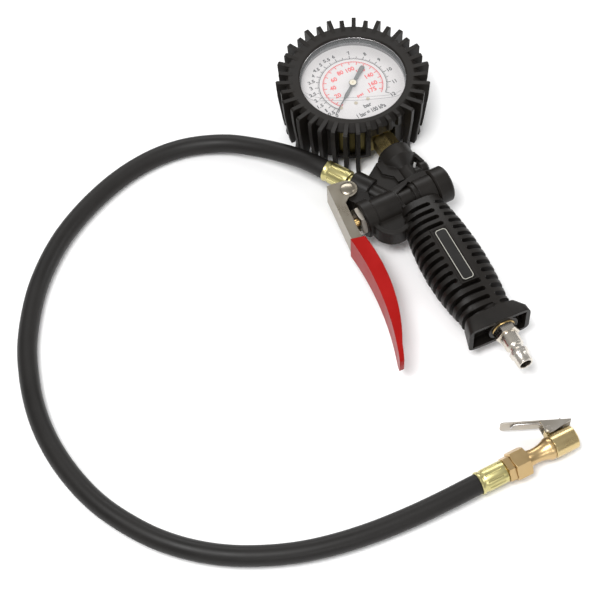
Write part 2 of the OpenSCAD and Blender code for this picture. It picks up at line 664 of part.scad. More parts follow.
// Section of one boot fin in radius and height, from the lip down to its foot
module fin_section(long) {
    r = long ? fin_r : fin_r - 2;
    polygon([[41.4, 38.6], [38.9, 42], [39.2, 42.7], [r - 1, 43.9], [r, 43.1], [r - 0.6, 31],
        [r - 3, 8], [47, 0.6], [46.4, 0], [44.6, 0], [44, 0.6], [41.4, 10.5]]);
}
module gauge_boot() {
    step = 360 / fin_count;
    color("#232322") at_gauge() difference() {
        union() {
            // wall, back flange and front lip; the lip's bevel cuts deeper near the stem
            intersection() {
                rotate_extrude() polygon([[aperture_r, 41.05], [39.35, 41.05], [40.45, 38.75],
                    [40.45, 9.45], [36, 9.45], [36, 8.2], [41, 8.2], [42.3, 9.6], [42.3, 37],
                    [43.8, 38.6], [43.8, 42.2], [43.2, 42.8], [aperture_r + 0.8, 42.6],
                    [aperture_r, 41.8]]);
                translate([0, 2.6, 0]) cylinder(r1 = 84, r2 = 40, h = 44);
            }
            for (i = [0 : fin_count - 1])
                let (a = step * i - 85.1, near = abs(a + 90) < 16 || a > 255)
                rotate([0, 0, a]) rotate([90, 0, 0]) translate([0, 0, -1.4]) linear_extrude(2.8)
                    if (near) polygon([[41.4, 31], [41.4, 38.6], [38.9, 42], [39.2, 42.7], [43.2, 42.7],
                        [44.6, 41.4], [44.6, 33]]);
                    else fin_section(i % 2 == 1);
        }
        // window in the wall for the stem
        translate([-9, -60, 4]) cube([18, 30, 26.5]);
        // slots through the wall between the fins on either side of the stem
        for (k = [-4 : 3]) if (k != -1 && k != 0)
            rotate([0, 0, step * (k + (k > 0 ? 1.5 : -0.5)) - 85.1]) translate([38, -1.8, 12]) cube([6, 3.6, 24]);
    }
}

// ---- hose and chuck ------------------------------------------------------------

// Crimped ferrule with a rolled mouth and long flutes, drawn along +Z from its closed end
module ferrule() {
    difference() {
        rotate_extrude() polygon([[0, 0], [ferrule_r - 0.8, 0], [ferrule_r - 0.1, 0.8],
            [ferrule_r - 0.1, ferrule_l - 4], [ferrule_r - 0.5, ferrule_l - 3],
            [ferrule_r + 0.1, ferrule_l - 1.5], [ferrule_r + 0.1, ferrule_l - 0.4],
            [ferrule_r - 0.3, ferrule_l], [0, ferrule_l]]);
        for (i = [0 : 9]) rotate([0, 0, 36 * i]) translate([ferrule_r + 0.35, 0, 3])
            cylinder(r = 0.9, h = ferrule_l - 7.5, $fn = 24);
        translate([0, 0, 1.4]) cylinder(r = hose_d / 2 + run, h = ferrule_l);
        translate([0, 0, -1]) cylinder(r = 3.2, h = 5);
    }
}
module gun_hose_tail() {
    color("#b3914a") at_gun() along_hose(0) difference() {
        union() {
            translate([0, 0, collar_t - 10]) cylinder(r = 4.9, h = 10);
            translate([0, 0, collar_t]) rod(5.3, 2.5, 0.4);
            translate([0, 0, collar_t + 2]) cylinder(r = 3.1, h = barb_t - 0.05);
        }
        translate([0, 0, collar_t - 11]) cylinder(r = 2, h = 20);
    }
}
module gun_ferrule() {
    color("#b9a24c") at_gun() along_hose(collar_t + 2.55) ferrule();
}
module hose() {
    last = len(hose_route) - 1;
    fine = [for (i = [0 : last - 1]) for (t = [0, 0.5])
        spline(hose_route[max(i - 1, 0)], hose_route[i], hose_route[i + 1],
            hose_route[min(i + 2, last)], t)];
    color("#1c1c1d") translate([valve_x, valve_y, 0])
        sweep(concat(fine, [hose_route[last]]), hose_d / 2, 12);
}
module chuck_ferrule() {
    color("#b9a24c") at_chuck() along_x(hex_thin_x - 0.05) rotate([0, 180, 0]) ferrule();
}
module chuck_hose_tail() {
    color("#a8884a") at_chuck() difference() {
        union() {
            along_x(hex_thin_x) rotate([0, 0, 30]) hexagon(14, 4.4, 0.8);
            along_x(hex_thin_x - 4.55) cylinder(r = 3.1, h = 5);
            along_x(hex_big_x - 0.5) cylinder(r = 4.8, h = 8);
        }
        along_x(hex_thin_x - 6) cylinder(r = 2, h = 20);
    }
}
module chuck_body() {
    neck = neck_x - hex_big_x;
    color("#ad8c55") at_chuck() difference() {
        union() {
            along_x(hex_big_x) rotate([0, 0, 30]) hexagon(16.4, neck, 1.3);
            along_x(neck_x - 0.5) rotate_extrude() polygon(concat([[0, 0], [5.6, 0]],
                arc3([5.6, 0.6], [4.6, 6.6], [6.9, 15.6], 14), [[6.9, 17.2], [6.3, 17.3], [6.3, 17.95], [0, 17.95]]));
            along_x(barrel_x - 1) cylinder(r = 5.6, h = 5.9);
        }
        along_x(hex_big_x - 1) cylinder(r = 4.9, h = 9);
        along_x(hex_big_x) cylinder(r = 2, h = 34);
    }
}
module chuck_barrel() {
    color("#a98a45") at_chuck() difference() {
        union() {
            along_x(barrel_x) rod(chuck_r, mouth_x - barrel_x, 0.5);
            // lug that carries the lever's pin
            translate([chuck_pivot[0] - 2.6, 5, -3.4]) cube([5.2, 4.4, 6.8]);
            translate([chuck_pivot[0], chuck_pivot[1], -3.4]) cylinder(r = 2.6, h = 6.8);
        }
        along_x(barrel_x - 1) cylinder(r = 5.7, h = 6.1);
        along_x(barrel_x + 5) cylinder(r = chuck_bore_r + 1.4, h = 2.6);
        along_x(barrel_x + 2) cylinder(r = chuck_bore_r, h = 20);
        translate([mouth_x - 4, 3, -3.2]) cube([2.5, 8, 6.4]);
        translate([chuck_pivot[0], chuck_pivot[1], -5]) cylinder(r = 1.2 + slip / 2, h = 10);
    }
}
module chuck_seal() {
    color("#1a1a1a") at_chuck() along_x(barrel_x + 5.1) ring(1.9, chuck_bore_r + 1.3, 2.4, 0.2);
}
module chuck_core_pin() {
    color("#b3914a") at_chuck() along_x(barrel_x - 1) rotate_extrude()
        polygon([[0, 0], [1.9, 0], [1.9, 3], [0.9, 4], [0.9, 8.2], [0, 8.4]]);
}
// Sheet-metal lever: straight tail, two cheeks and a jaw that drops into the barrel's slot
module chuck_lever() {
    tail = 28;
    nose = 14;
    color("#b7b3ac") at_chuck() difference() {
        union() {
            translate([chuck_pivot[0], chuck_pivot[1], 0]) rotate([0, 0, chuck_web_a]) {
                translate([0, 6, 0]) rotate([90, 0, 0]) linear_extrude(0.8)
                    polygon([[nose, -4.6], [nose, 4.6], [2 - tail, 4.6], [0.6 - tail, 4], [-tail, 2.6],
                        [-tail, -2.6], [0.6 - tail, -4], [2 - tail, -4.6]]);
                for (z = [-4.8, 4]) translate([0, 0, z]) linear_extrude(0.8)
                    polygon([[-4.6, 5.9], [nose, 5.9], [nose, 4.9], [2.4, -2], [0.4, -2.6], [-1.8, -2],
                        [-2.4, 0]]);
                translate([7.5, 5.9, -1.6]) cube([0.8, 2.4, 3.2]);
            }
            // jaw
            translate([mouth_x - 3.6, chuck_bore_r + 0.45, -2.6]) cube([0.9, 6.6, 5.2]);
        }
        translate([chuck_pivot[0], chuck_pivot[1], -6]) cylinder(r = 1.2 + run, h = 12);
    }
}
module chuck_lever_pin() {
    color("#a9a59d") at_chuck() translate([chuck_pivot[0], chuck_pivot[1], 0]) rotate_extrude()
        polygon([[0, -5.6], [1.7, -5.4], [1.7, -4.85], [1.2, -4.85], [1.2, 4.85], [1.7, 4.85],
            [1.7, 5.4], [0, 5.6]]);
}
module chuck_lever_spring() {
    color("#a8a8aa") at_chuck() translate([chuck_pivot[0], chuck_pivot[1], 3.7])
        rotate([0, 0, chuck_web_a])
        sweep([[-1.2, 3.2, -1.6], [-3.4, 3.9, -1], [-6, 4.6, -0.4], [-12, 4.6, -0.4],
            [-18, 4.6, -0.4], [-20, 4.6, -1.2], [-21.6, 4.6, -4.4]], 0.45, 8);
}

body_moulding();
end_cap();
gland_nut();
valve_stem();
stem_seal();
piston_seals();
valve_spring();
trigger_lever();
lever_sleeve();
lever_pin();
label_plate();
inlet_insert();
inlet_plug();
gauge_stem();
gauge_case();
movement_frame();
movement_screws();
bourdon_tube();
tube_link();
sector_gear();
pointer_shaft();
hair_spring();
dial_plate();
dial_screws();
pointer();
spacer_ring();
gauge_window();
window_gasket();
bezel_ring();
gauge_boot();
gun_hose_tail();
gun_ferrule();
hose();
chuck_ferrule();
chuck_hose_tail();
chuck_body();
chuck_barrel();
chuck_seal();
chuck_core_pin();
chuck_lever();
chuck_lever_pin();
chuck_lever_spring();
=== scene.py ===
"""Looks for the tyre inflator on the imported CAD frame: materials, hose, dial print, label border, studio."""
import math

import bmesh
import bpy
from mathutils import Matrix, Vector


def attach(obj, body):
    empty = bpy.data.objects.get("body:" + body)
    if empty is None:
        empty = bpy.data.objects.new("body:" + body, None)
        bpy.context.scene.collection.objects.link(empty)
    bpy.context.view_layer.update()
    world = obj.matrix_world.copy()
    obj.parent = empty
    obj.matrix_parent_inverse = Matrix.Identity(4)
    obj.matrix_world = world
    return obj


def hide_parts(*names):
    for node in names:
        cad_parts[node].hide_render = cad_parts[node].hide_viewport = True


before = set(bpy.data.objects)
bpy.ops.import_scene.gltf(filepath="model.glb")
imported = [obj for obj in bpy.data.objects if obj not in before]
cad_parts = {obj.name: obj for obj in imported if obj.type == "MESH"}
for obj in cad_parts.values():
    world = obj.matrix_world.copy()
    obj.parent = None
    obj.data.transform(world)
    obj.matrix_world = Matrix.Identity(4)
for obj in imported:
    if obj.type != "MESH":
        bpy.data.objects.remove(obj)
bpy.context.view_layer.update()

MM = 0.001
VALVE = Vector((12.0, -1.5, 21.0))      # valve crossing, mm
GAUGE = Vector((12.0, 89.5, 0.0))       # below the dial's centre, mm
DIAL_TOP = 34.0                          # height of the dial's face, mm
GLASS_LOW = 38.2                         # height of the window's underside, mm
PRINT_THICK = 0.06                       # thickness of the dial's print, mm
NEEDLE_ANGLE = 218.0                     # where the needle points at rest, about +Z
scene = bpy.context.scene


# ---- camera --------------------------------------------------------------------

ELEVATION, AZIMUTH, ROLL = map(math.radians, (57.5, -24.0, -4.0))
DISTANCE = 1.039                         # from the camera to its target, m
TARGET = Vector((-0.08865, -0.01867, 0.0))
back = Vector((math.sin(AZIMUTH) * math.cos(ELEVATION), -math.cos(AZIMUTH) * math.cos(ELEVATION),
               math.sin(ELEVATION)))
across = Vector((math.cos(AZIMUTH), math.sin(AZIMUTH), 0.0))
rise = back.cross(across)
right = math.cos(ROLL) * across + math.sin(ROLL) * rise
up = math.cos(ROLL) * rise - math.sin(ROLL) * across
camera = bpy.data.objects.new("camera", bpy.data.cameras.new("camera"))
camera.data.lens = 100.0
camera.data.sensor_width = 36.0
camera.data.clip_start = 0.05
camera.data.clip_end = 20.0
camera.matrix_world = Matrix(((right.x, up.x, back.x, 0), (right.y, up.y, back.y, 0),
                              (right.z, up.z, back.z, 0), (0, 0, 0, 1)))
camera.location = TARGET + back * DISTANCE
scene.collection.objects.link(camera)
scene.camera = camera


# ---- small helpers ---------------------------------------------------------------

def link(obj):
    scene.collection.objects.link(obj)
    return obj


def mesh_object(name, verts, faces):
    mesh = bpy.data.meshes.new(name)
    mesh.from_pydata([tuple(v) for v in verts], [], faces)
    mesh.update()
    return link(bpy.data.objects.new(name, mesh))


class Shader:
    """A Principled material with procedural detail in the row frame, in metres."""

    def __init__(self, name):
        self.mat = bpy.data.materials.new(name)
        self.mat.use_nodes = True
        self.tree = self.mat.node_tree
        self.tree.nodes.clear()
        self.out = self.node("OutputMaterial")
        self.bsdf = self.node("BsdfPrincipled")
        self.join(self.bsdf, "BSDF", self.out, "Surface")
        self.coord = self.node("TexCoord")
        self.normal = None

    def node(self, kind, **props):
        n = self.tree.nodes.new("ShaderNode" + kind)
        for key, value in props.items():
            setattr(n, key, value)
        return n

    def join(self, a, out, b, inp):
        self.tree.links.new(a.outputs[out], b.inputs[inp])

    def set(self, **values):
        for key, value in values.items():
            self.bsdf.inputs[key.replace("_", " ")].default_value = value
        return self

    def mapping(self, scale):
        m = self.node("Mapping")
        m.inputs["Scale"].default_value = scale
        self.join(self.coord, "Object", m, "Vector")
        return m

    def noise(self, scale, detail=3.0, rough=0.55, stretch=(1, 1, 1)):
        n = self.node("TexNoise")
        n.inputs["Scale"].default_value = scale
        n.inputs["Detail"].default_value = detail
        n.inputs["Roughness"].default_value = rough
        self.join(self.mapping(stretch), "Vector", n, "Vector")
        return n, "Fac"

    def ramp(self, source, stops):
        r = self.node("ValToRGB")
        els = r.color_ramp.elements
        while len(els) < len(stops):
            els.new(0.5)
        for el, (pos, col) in zip(els, stops):
            el.position = pos
            el.color = tuple(col) + (1.0,) if len(col) == 3 else tuple(col)
        self.join(source[0], source[1], r, "Fac")
        return r, "Color"

    def remap(self, source, lo, hi, a, b):
        """Value that goes from a to b while the source goes from lo to hi."""
        m = self.node("MapRange")
        for key, value in (("From Min", lo), ("From Max", hi), ("To Min", a), ("To Max", b)):
            m.inputs[key].default_value = value
        self.join(source[0], source[1], m, "Value")
        return m, "Result"

    def math(self, op, a, b):
        m = self.node("Math", operation=op)
        for i, v in enumerate((a, b)):
            if isinstance(v, (int, float)):
                m.inputs[i].default_value = v
            else:
                self.tree.links.new(v[0].outputs[v[1]], m.inputs[i])
        return m, "Value"

    def mix(self, fac, a, b):
        m = self.node("Mix", data_type="RGBA")
        if isinstance(fac, (int, float)):
            m.inputs[0].default_value = fac
        else:
            self.tree.links.new(fac[0].outputs[fac[1]], m.inputs[0])
        for socket, v in ((6, a), (7, b)):
            if isinstance(v[0], (int, float)):
                m.inputs[socket].default_value = tuple(v) + (1.0,)
            else:
                self.tree.links.new(v[0].outputs[v[1]], m.inputs[socket])
        return m, 2

    def round_edges(self, radius):
        b = self.node("Bevel", samples=6)
        b.inputs["Radius"].default_value = radius
        self.normal = (b, "Normal")
        return self

    def bump(self, source, strength, distance):
        b = self.node("Bump")
        b.inputs["Strength"].default_value = strength
        b.inputs["Distance"].default_value = distance
        self.join(source[0], source[1], b, "Height")
        if self.normal:
            self.join(self.normal[0], self.normal[1], b, "Normal")
        self.normal = (b, "Normal")
        return self

    def edge(self, radius, lo=0.02, hi=0.25):
        """Mask that is 1 on sharp outer and inner edges."""
        b = self.node("Bevel", samples=6)
        b.inputs["Radius"].default_value = radius
        g = self.node("NewGeometry")
        d = self.node("VectorMath", operation="DOT_PRODUCT")
        self.join(b, "Normal", d, 0)
        self.join(g, "Normal", d, 1)
        m = self.math("SUBTRACT", 1.0, (d, "Value"))
        return self.remap(m, lo, hi, 0.0, 1.0)

    def feed(self, source, key):
        self.tree.links.new(source[0].outputs[source[1]], self.bsdf.inputs[key])
        return self

    def done(self):
        if self.normal:
            self.feed(self.normal, "Normal")
        return self.mat


def black_moulding(name, base, rough, grain, grain_depth, edge=0.0004, glint_strength=0.25):
    """Black polymer: cloudy colour, fine moulded grain, and painted highlights on its sharp edges, paler in
    patches.
    """
    s = Shader(name)
    cloud = s.noise(38.0, 4.0)
    fine = s.noise(grain, 2.0, 0.6)
    # painted highlight: sharp edges get a paler base colour, in noisy patches, in place of the light they
    # catch
    glint_mask = s.math("MULTIPLY", s.edge(edge * 1.6), s.remap(s.noise(260.0, 3.0), 0.35, 0.7, 0.2, 1.0))
    body = s.ramp(cloud, [(0.3, tuple(c * 0.75 for c in base)), (0.7, tuple(c * 1.4 for c in base))])
    glint_colour = tuple(c * 2.6 + 0.006 for c in base)
    s.feed(s.mix(s.math("MULTIPLY", glint_mask, glint_strength), body, glint_colour), "Base Color")
    s.feed(s.remap(cloud, 0.3, 0.7, rough - 0.05, rough + 0.07), "Roughness")
    s.set(IOR=1.5, Specular_IOR_Level=0.24)
    s.round_edges(edge)
    s.bump(fine, 0.35, grain_depth)
    return s.done()


def plated(name, base, rough, scratch_dir=(1, 1, 1), mottle=0.05, edge=0.0003, warm=(1.0, 0.97, 0.92)):
    """Metal: slightly uneven colour, fine drawn lines, and softened edges."""
    s = Shader(name)
    s.set(Metallic=1.0)
    cloud = s.noise(70.0, 4.0, 0.55)
    scratch = s.noise(9000.0, 2.0, 0.5, stretch=scratch_dir)
    lo = tuple(c * (1 - mottle) * w for c, w in zip(base, warm))
    s.feed(s.ramp(cloud, [(0.35, lo), (0.65, base)]), "Base Color")
    r = s.math("ADD", s.remap(cloud, 0.3, 0.7, rough * 0.85, rough * 1.15),
               s.remap(scratch, 0.5, 0.75, 0.0, rough * 0.2))
    s.feed(r, "Roughness")
    s.round_edges(edge)
    s.bump(scratch, 0.03, 0.000002)
    return s.done()


NYLON = black_moulding("nylon", (0.0072, 0.0058, 0.0046), 0.42, 2600.0, 0.00003)
RUBBER = black_moulding("boot_rubber", (0.0078, 0.0062, 0.0048), 0.5, 1500.0, 0.00004,
                        edge=0.0005, glint_strength=0.4)
SEAL = black_moulding("seal_rubber", (0.01, 0.01, 0.01), 0.5, 2000.0, 0.00002, edge=0.0002, glint_strength=0.1)
CASE = plated("case_olive", (0.17, 0.14, 0.05), 0.38)
LABEL = black_moulding("label_film", (0.014, 0.0135, 0.013), 0.3, 1800.0, 0.00001, edge=0.0001, glint_strength=0.1)
NICKEL = plated("nickel", (0.49, 0.46, 0.415), 0.34, (0.4, 1.0, 1.0), mottle=0.03)
# painted shade: a darker copy of the nickel plate, used for the trigger lever and its pin
NICKEL_SHADED = plated("nickel_painted_shade", (0.31, 0.283, 0.237), 0.3, (1.0, 0.4, 1.0), mottle=0.03)
BRASS_STEM = plated("brass_stem", (0.56, 0.45, 0.2), 0.28, mottle=0.04)
NICKEL_TURNED = plated("nickel_turned", (0.66, 0.625, 0.57), 0.24, (1.0, 1.0, 1.0), mottle=0.03)
BRASS = plated("brass_plain", (0.60, 0.43, 0.19), 0.28)
BRASS_YELLOW = plated("brass_yellow", (0.58, 0.515, 0.245), 0.32, mottle=0.03, warm=(0.98, 1.0, 0.94))
BRASS_TAN = plated("brass_tan", (0.56, 0.405, 0.205), 0.33, (0.4, 1.0, 1.0), mottle=0.03)
BRASS_DARK = plated("brass_dark", (0.6, 0.475, 0.245), 0.27, (0.4, 1.0, 1.0), mottle=0.03)
STEEL = plated("spring_steel", (0.5, 0.5, 0.51), 0.28)
CHROME = plated("chrome", (0.62, 0.63, 0.65), 0.16, edge=0.0004)
# painted shade: a darker, blotchier copy of the chrome for the ring inside the gauge, where the wall lies in
# shade
CHROME_SHADED = plated("chrome_painted_shade", (0.24, 0.24, 0.25), 0.25, (1.0, 1.0, 6.0), mottle=0.3)


def vinyl():
    """Red sleeve: cloudy, with a faint sheen and a soft uneven skin."""
    s = Shader("red_vinyl")
    cloud = s.noise(55.0, 4.0)
    s.feed(s.ramp(cloud, [(0.3, (0.27, 0.004, 0.003)), (0.7, (0.315, 0.0055, 0.0045))]), "Base Color")
    s.feed(s.remap(cloud, 0.3, 0.7, 0.33, 0.45), "Roughness")
    s.set(IOR=1.45, Specular_IOR_Level=0.12, Coat_Weight=0.03, Coat_Roughness=0.2)
    s.round_edges(0.0007)
    s.bump(s.noise(420.0, 3.0), 0.25, 0.00006)
    return s.done()


def hose_rubber():
    """Dull black rubber with pale dust."""
    s = Shader("hose_rubber")
    cloud = s.noise(30.0, 4.0)
    dust = s.noise(700.0, 2.0, 0.6)
    s.feed(s.mix(s.remap(dust, 0.55, 0.8, 0.0, 0.35),
                 s.ramp(cloud, [(0.3, (0.0078, 0.007, 0.0064)), (0.7, (0.011, 0.0098, 0.009))]),
                 (0.018, 0.0168, 0.0158)), "Base Color")
    s.feed(s.remap(cloud, 0.3, 0.7, 0.42, 0.55), "Roughness")
    s.set(IOR=1.5, Specular_IOR_Level=0.26)
    s.bump(dust, 0.3, 0.00003)
    return s.done()


def enamel(name, base, rough):
    """Paint or ink: nearly even, with a fine grain."""
    s = Shader(name)
    cloud = s.noise(60.0, 3.0)
    s.feed(s.ramp(cloud, [(0.3, tuple(c * 0.96 for c in base)), (0.7, base)]), "Base Color")
    s.feed(s.remap(cloud, 0.3, 0.7, rough, rough + 0.1), "Roughness")
    s.bump(s.noise(2500.0, 2.0), 0.1, 0.00001)
    return s.done()


def clear(name, tint, rough, alpha):
    """See-through film or glass, as thin as its alpha."""
    s = Shader(name)
    s.set(IOR=1.5, Alpha=alpha)
    s.feed(s.ramp(s.noise(40.0, 2.0), [(0.3, tint), (0.7, tuple(c * 0.98 for c in tint))]), "Base Color")
    s.feed(s.remap(s.noise(300.0, 3.0), 0.3, 0.7, rough, rough + 0.03), "Roughness")
    s.mat.surface_render_method = "BLENDED"
    return s.done()


VINYL = vinyl()
HOSE = hose_rubber()
DIAL_WHITE = enamel("dial_white", (0.58, 0.555, 0.552), 0.5)
PRINT_BLACK = enamel("print_black", (0.02, 0.02, 0.021), 0.4)
PRINT_RED = enamel("print_red", (0.66, 0.045, 0.05), 0.4)
PRINT_CREAM = enamel("print_cream", (0.42, 0.41, 0.36), 0.4)
HUB_CREAM = enamel("hub_cream", (0.66, 0.6, 0.46), 0.35)
SCREW_TAN = enamel("screw_tan", (0.4, 0.34, 0.24), 0.35)


def needle_paint():
    """Grey lacquer with a black tip, by distance from the shaft along the blade."""
    s = Shader("needle_paint")
    centre = s.node("VectorMath", operation="SUBTRACT")
    s.join(s.coord, "Object", centre, 0)
    centre.inputs[1].default_value = (GAUGE.x * MM, GAUGE.y * MM, 0)
    along = s.node("VectorMath", operation="DOT_PRODUCT")
    s.join(centre, "Vector", along, 0)
    angle = math.radians(NEEDLE_ANGLE)
    along.inputs[1].default_value = (math.cos(angle), math.sin(angle), 0)
    tip_from, tip_full = 0.0128, 0.0134  # where grey ends and black begins, m from the shaft
    tip = s.remap((along, "Value"), tip_from, tip_full, 0.0, 1.0)
    grey = s.ramp(s.noise(120.0, 3.0), [(0.3, (0.052, 0.056, 0.054)), (0.7, (0.066, 0.07, 0.068))])
    s.feed(s.mix(tip, grey, (0.006, 0.006, 0.006)), "Base Color")
    s.feed(s.remap(s.noise(300.0, 2.0), 0.3, 0.7, 0.3, 0.4), "Roughness")
    return s.done()


NEEDLE = needle_paint()
WINDOW = clear("window_glass", (0.95, 0.97, 0.98), 0.03, alpha=0.07)


# ---- CAD nodes: shading and materials -----------------------------------------------

def smooth_group(angle_deg):
    """Geometry-node group that shades smooth except across edges sharper than an angle."""
    g = bpy.data.node_groups.new("shade_by_angle", "GeometryNodeTree")
    g.interface.new_socket("Geometry", in_out="INPUT", socket_type="NodeSocketGeometry")
    g.interface.new_socket("Geometry", in_out="OUTPUT", socket_type="NodeSocketGeometry")
    n = g.nodes
    inp, out = n.new("NodeGroupInput"), n.new("NodeGroupOutput")
    angle = n.new("GeometryNodeInputMeshEdgeAngle")
    test = n.new("FunctionNodeCompare")
    test.data_type = "FLOAT"
    test.operation = "GREATER_THAN"
    test.inputs[1].default_value = math.radians(angle_deg)
    faces = n.new("GeometryNodeSetShadeSmooth")
    edges = n.new("GeometryNodeSetShadeSmooth")
    edges.domain = "EDGE"
    faces.inputs["Shade Smooth"].default_value = True
    edges.inputs["Shade Smooth"].default_value = False
    g.links.new(inp.outputs[0], faces.inputs["Geometry"])
    g.links.new(faces.outputs[0], edges.inputs["Geometry"])
    g.links.new(angle.outputs["Unsigned Angle"], test.inputs[0])
    g.links.new(test.outputs[0], edges.inputs["Selection"])
    g.links.new(edges.outputs[0], out.inputs[0])
    return g


SHADE = smooth_group(32)


def dress(node, mat):
    """Give a CAD node its material, merge its flat facets and shade its round faces smooth."""
    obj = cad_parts[node]
    obj.data.materials.clear()
    obj.data.materials.append(mat)
    if "custom_normal" in obj.data.attributes:
        obj.data.attributes.remove(obj.data.attributes["custom_normal"])
    weld = obj.modifiers.new("weld", "WELD")
    weld.merge_threshold = 0.000004
    flat = obj.modifiers.new("flat", "DECIMATE")
    flat.decimate_type = "DISSOLVE"
    flat.angle_limit = math.radians(0.6)
    shade = obj.modifiers.new("shade", "NODES")
    shade.node_group = SHADE


LOOKS = {
    "body_moulding": NYLON, "end_cap": NYLON, "label_plate": LABEL, "stem_seal": SEAL,
    "piston_seals": SEAL, "gauge_boot": RUBBER, "window_gasket": SEAL, "chuck_seal": SEAL,
    "hose": HOSE, "lever_sleeve": VINYL, "gland_nut": NICKEL, "trigger_lever": NICKEL_SHADED,
    "lever_pin": NICKEL_SHADED, "inlet_plug": NICKEL_TURNED, "chuck_lever": NICKEL,
    "chuck_lever_pin": NICKEL_TURNED, "valve_stem": BRASS, "inlet_insert": BRASS,
    "gun_hose_tail": BRASS_YELLOW, "chuck_core_pin": BRASS, "movement_frame": BRASS,
    "movement_screws": BRASS, "bourdon_tube": BRASS, "tube_link": BRASS, "sector_gear": BRASS,
    "pointer_shaft": BRASS, "dial_screws": SCREW_TAN, "gauge_stem": BRASS_STEM,
    "gun_ferrule": BRASS_YELLOW, "chuck_ferrule": BRASS_YELLOW, "chuck_hose_tail": BRASS_TAN,
    "chuck_body": BRASS_TAN, "chuck_barrel": BRASS_DARK, "valve_spring": STEEL,
    "hair_spring": STEEL, "chuck_lever_spring": STEEL, "gauge_case": CASE, "bezel_ring": CHROME,
    "spacer_ring": CHROME_SHADED, "dial_plate": DIAL_WHITE, "pointer": NEEDLE, "gauge_window": WINDOW}
for node, mat in LOOKS.items():
    dress(node, mat)


# ---- hose -----------------------------------------------------------------------------

# Centre line from the gun's ferrule to the chuck's, in mm. x and y are from the valve crossing, and
# z is from the plane.
HOSE_ROUTE = [
    (-36.6, 33.256, 21), (-41, 40.88, 21), (-45, 47.8, 21), (-49, 56, 20.2), (-53.5, 65, 18),
    (-59, 74.5, 15.2), (-66, 84.5, 12.6), (-74.5, 94.5, 10.3), (-85.5, 105, 8.4),
    (-98.5, 113, 7), (-113.5, 118.5, 6.35), (-130, 120.5, 6.35), (-147, 119.3, 6.35),
    (-164, 115.5, 6.35), (-181, 109.3, 6.35), (-198.3, 100.8, 6.35), (-214.7, 90.3, 6.35),
    (-230, 77.2, 6.35), (-244.2, 61.5, 6.35), (-256, 44, 6.35), (-265.8, 25.5, 6.35),
    (-272.7, 6, 6.35), (-277.5, -14, 6.35), (-279.6, -34, 6.35), (-279, -54, 6.35),
    (-275.8, -74, 6.35), (-270, -93.6, 6.35), (-261, -112.2, 6.35), (-249.4, -129.9, 6.35),
    (-234.7, -145.7, 6.35), (-217.5, -159, 6.35), (-198.2, -169.6, 6.35), (-178, -177.6, 6.35),
    (-156.5, -183, 6.35), (-134.2, -186.4, 6.4), (-111, -188.3, 6.9), (-90, -189, 7.6),
    (-76, -189, 8), (-68, -189, 8), (-55.6, -189, 8)]
HOSE_RADIUS = 6.25 * MM


def catmull(p, steps):
    """Smooth line through the points, with a number of steps between each two."""
    out = []
    for i in range(len(p) - 1):
        a, b, c, d = p[max(i - 1, 0)], p[i], p[i + 1], p[min(i + 2, len(p) - 1)]
        for k in range(steps):
            t = k / steps
            out.append(0.5 * (2 * b + (c - a) * t + (2 * a - 5 * b + 4 * c - d) * t ** 2
                              + (3 * b - a - 3 * c + d) * t ** 3))
    return out + [p[-1]]


route = catmull([Vector(((x + VALVE.x) * MM, (y + VALVE.y) * MM, z * MM)) for x, y, z in HOSE_ROUTE], 6)
curve = bpy.data.curves.new("air_hose", "CURVE")
curve.dimensions = "3D"
curve.bevel_depth = HOSE_RADIUS
curve.bevel_resolution = 8
curve.use_fill_caps = True
line = curve.splines.new("POLY")
line.points.add(len(route) - 1)
for point, p in zip(line.points, route):
    point.co = (*p, 1.0)
curve.materials.append(HOSE)
hose = link(bpy.data.objects.new("air_hose", curve))
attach(hose, "gun")
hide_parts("hose")


# ---- dial print --------------------------------------------------------------------------

def polar(r, deg):
    """Point on the dial at a radius in mm and an angle about +Z."""
    a = math.radians(deg)
    return Vector((GAUGE.x + r * math.cos(a), GAUGE.y + r * math.sin(a), 0))


def slab(bm, corners, z, thick=PRINT_THICK):
    """Thin plate with the given corners, from the height z up, in mm."""
    low = [bm.verts.new((p.x * MM, p.y * MM, z * MM)) for p in corners]
    high = [bm.verts.new((p.x * MM, p.y * MM, (z + thick) * MM)) for p in corners]
    n = len(corners)
    bm.faces.new(low[::-1])
    bm.faces.new(high)
    for i in range(n):
        bm.faces.new((low[i], low[(i + 1) % n], high[(i + 1) % n], high[i]))


def flat_bar(bm, r0, r1, deg, width, z):
    """Radial tick between two radii."""
    a = math.radians(deg)
    side = Vector((-math.sin(a), math.cos(a), 0)) * width / 2
    corners = [polar(r0, deg) - side, polar(r1, deg) - side, polar(r1, deg) + side, polar(r0, deg) + side]
    slab(bm, corners, z)


def flat_arc(bm, r, width, a0, a1, z):
    """Arc of a given width between two angles."""
    steps = max(2, int(abs(a1 - a0) / 3))
    inner = [polar(r - width / 2, a0 + (a1 - a0) * i / steps) for i in range(steps + 1)]
    outer = [polar(r + width / 2, a0 + (a1 - a0) * i / steps) for i in range(steps + 1)]
    for i in range(steps):
        slab(bm, [inner[i], outer[i], outer[i + 1], inner[i + 1]][::-1], z)


def bm_object(name, bm, mat):
    bmesh.ops.recalc_face_normals(bm, faces=bm.faces)
    mesh = bpy.data.meshes.new(name)
    bm.to_mesh(mesh)
    bm.free()
    mesh.materials.append(mat)
    obj = link(bpy.data.objects.new(name, mesh))
    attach(obj, "gun")


def bar_angle(p):
    """Angle of a pressure in bar: even, but closed up below 1 bar."""
    return 90.0 - 22.5 * (p - 6.0) if p >= 1 else 219.5 - 17.0 * p


def psi_angle(p):
    return bar_angle(p / 14.5038)


